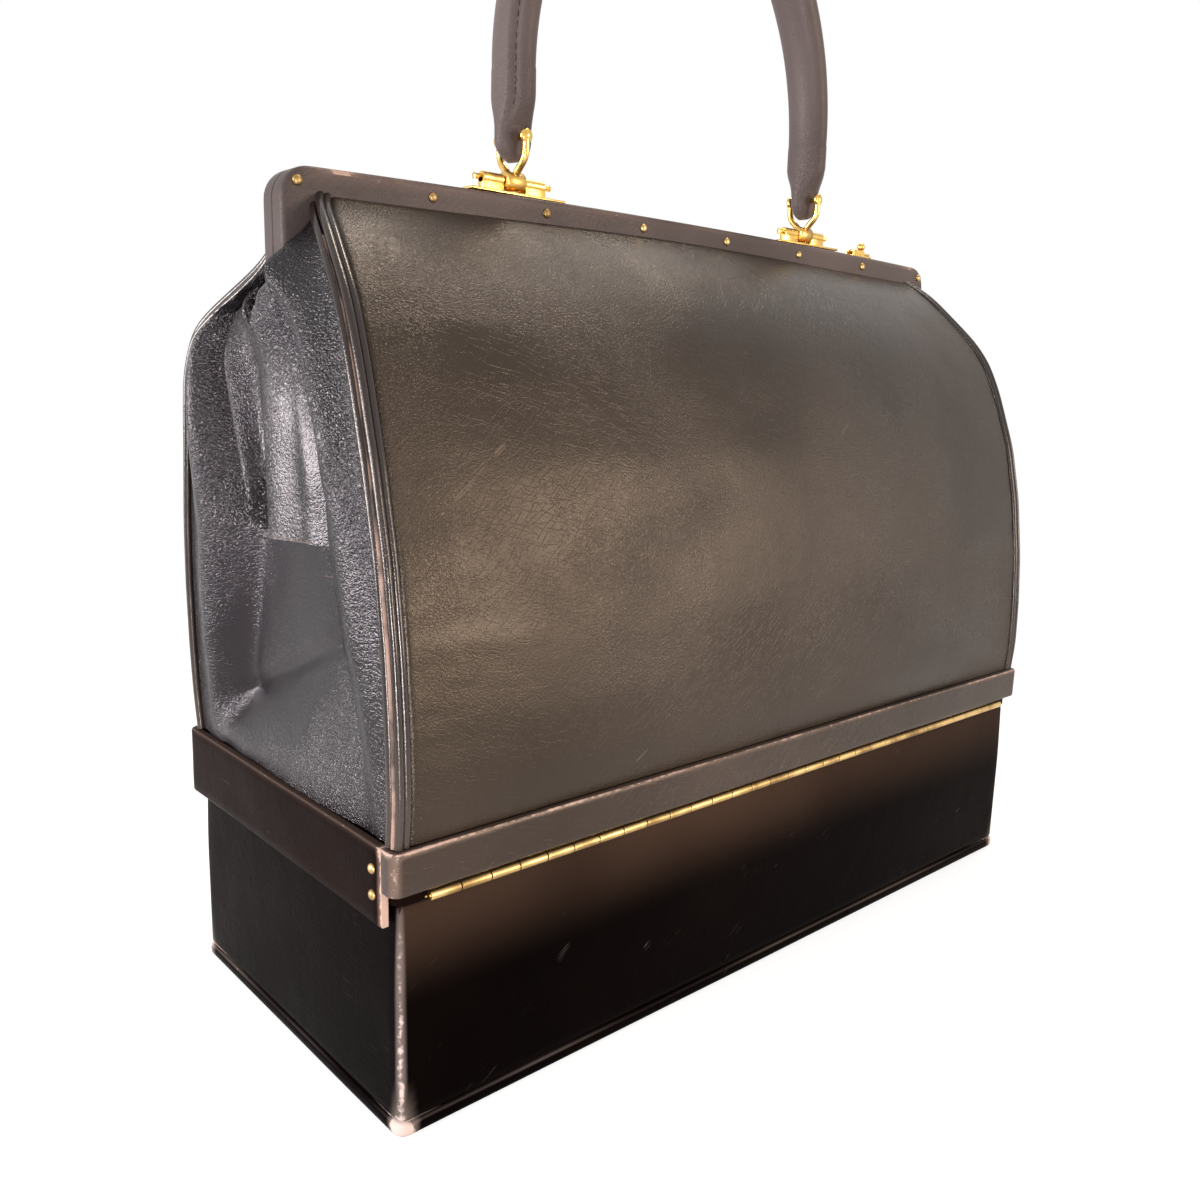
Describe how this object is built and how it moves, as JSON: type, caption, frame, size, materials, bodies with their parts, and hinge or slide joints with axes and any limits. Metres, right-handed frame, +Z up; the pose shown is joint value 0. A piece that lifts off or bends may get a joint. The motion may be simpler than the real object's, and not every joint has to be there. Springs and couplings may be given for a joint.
{
  "type": "framed vanity bag",
  "caption": "Leather vanity bag with a framed top, hinged along its back on a rigid lower case, with an arched handle.",
  "frame": {"origin": "middle of the base, on the surface that the bag stands on", "axes": "+X along the bag, +Y towards the piano hinge at the back, +Z up"},
  "size_m": [0.3388, 0.1475, 0.4153],
  "materials": {
    "black_leather": "smooth black calf with a soft sheen, worn tan at its edges",
    "facing_leather": "black leather facing, slightly greyed by wear",
    "brass": "polished brass, lightly tarnished",
    "steel": "plain turned steel",
    "board": "plain board and cord under the leather",
    "lining": "brown cloth lining"
  },
  "bodies": {
    "lower_case": {"case_base": "black_leather", "case_shell": "board", "case_cover": "black_leather", "case_lining": "lining", "case_hinge_leaf": "brass", "hinge_pin": "brass", "lock_body": "brass"},
    "upper_bag": {"collar_ring": "board", "collar_skirt": "black_leather", "collar_back_strip": "black_leather", "bag_floor": "lining", "collar_hinge_leaf": "brass", "back_panel": "black_leather", "front_panel": "black_leather", "right_gusset": "black_leather", "left_gusset": "black_leather", "back_right_welt": "black_leather", "back_left_welt": "black_leather", "front_right_welt": "black_leather", "front_left_welt": "black_leather", "back_jaw": "brass", "back_jaw_facing": "facing_leather", "right_pivot_pin": "steel", "left_pivot_pin": "steel", "right_handle_mount": "brass", "left_handle_mount": "brass", "right_handle_axle": "brass", "left_handle_axle": "brass", "catch_guide": "brass", "lock_tongue": "brass"},
    "front_frame": {"front_jaw": "brass", "front_jaw_facing": "facing_leather", "catch_stud": "brass"},
    "handle": {"handle_grip": "black_leather", "handle_core": "board", "right_shackle": "brass", "left_shackle": "brass", "right_handle_pin": "brass", "left_handle_pin": "brass"},
    "catch": {"catch_slider": "brass"},
    "bolt": {"lock_bolt": "brass"}
  },
  "joints": [
    {"name": "bag_tilt", "type": "hinge", "parent": "lower_case", "child": "upper_bag", "pos_m": [0, 0.06935, 0.073], "axis": [-1, 0, 0], "range_deg": [0, 100]},
    {"name": "jaw_open", "type": "hinge", "parent": "upper_bag", "child": "front_frame", "pos_m": [0, 0, 0.1745], "axis": [1, 0, 0], "range_deg": [0, 60], "deforming": ["front_panel", "right_gusset", "left_gusset", "front_right_welt", "front_left_welt"]},
    {"name": "handle_swing", "type": "hinge", "parent": "upper_bag", "child": "handle", "pos_m": [0, 0, 0.27934], "axis": [1, 0, 0], "range_deg": [-75, 75]},
    {"name": "catch_slide", "type": "slide", "parent": "upper_bag", "child": "catch", "axis": [1, 0, 0], "range_m": [0, 0.0035]},
    {"name": "lock_slide", "type": "slide", "parent": "lower_case", "child": "bolt", "axis": [-1, 0, 0], "range_m": [0, 0.0032]}
  ]
}
